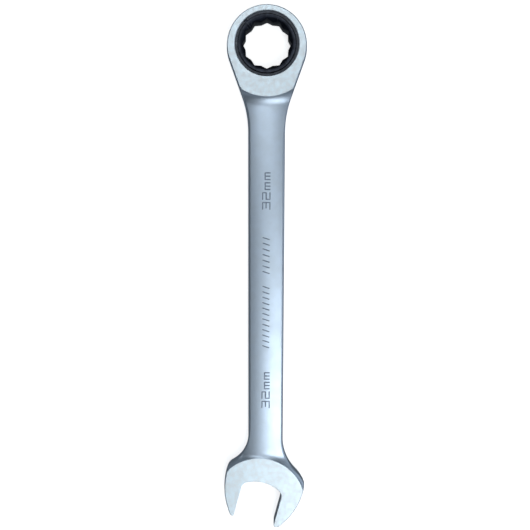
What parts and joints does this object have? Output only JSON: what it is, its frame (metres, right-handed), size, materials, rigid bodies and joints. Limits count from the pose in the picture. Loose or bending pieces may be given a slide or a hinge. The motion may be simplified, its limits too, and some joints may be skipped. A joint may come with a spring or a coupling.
{
  "type": "ratcheting combination wrench",
  "caption": "Flat hand wrench with an open jaw set at 15 degrees at one end and a one-way ratchet ring with a 12-point hole at the other.",
  "frame": {"origin": "the ring's axis, at the lower face of the ring head", "axes": "+X along the shank from the ring to the open end, +Z out of the ring's face that carries the retaining ring, +Y to the left of +X seen from above"},
  "size_m": [0.4013, 0.0631, 0.016],
  "materials": {
    "satin_chrome": "matt chrome plate, heads ground flat and brushed",
    "black_oxide": "black oxide, satin",
    "black_spring_steel": "black oxide, satin",
    "hardened_steel": "hardened and tumbled",
    "spring_wire": "bright drawn wire"
  },
  "bodies": {
    "wrench": {"wrench_body": "satin_chrome", "snap_ring": "black_spring_steel", "pawl_spring": "spring_wire"},
    "gear": {"ratchet_gear": "black_oxide"},
    "pawl": {"pawl": "hardened_steel", "spring_plunger": "hardened_steel"}
  },
  "joints": [
    {"name": "gear_turn", "type": "hinge", "parent": "wrench", "child": "gear", "pos_m": [0, 0, 0.008], "axis": [0, 0, 1], "continuous": true},
    {"name": "pawl_slide", "type": "slide", "parent": "wrench", "child": "pawl", "axis": [1, 0, 0], "range_m": [0, 0.00115], "stiffness_N_per_m": 700, "springref_m": -0.002, "deforming": ["pawl_spring"]}
  ]
}
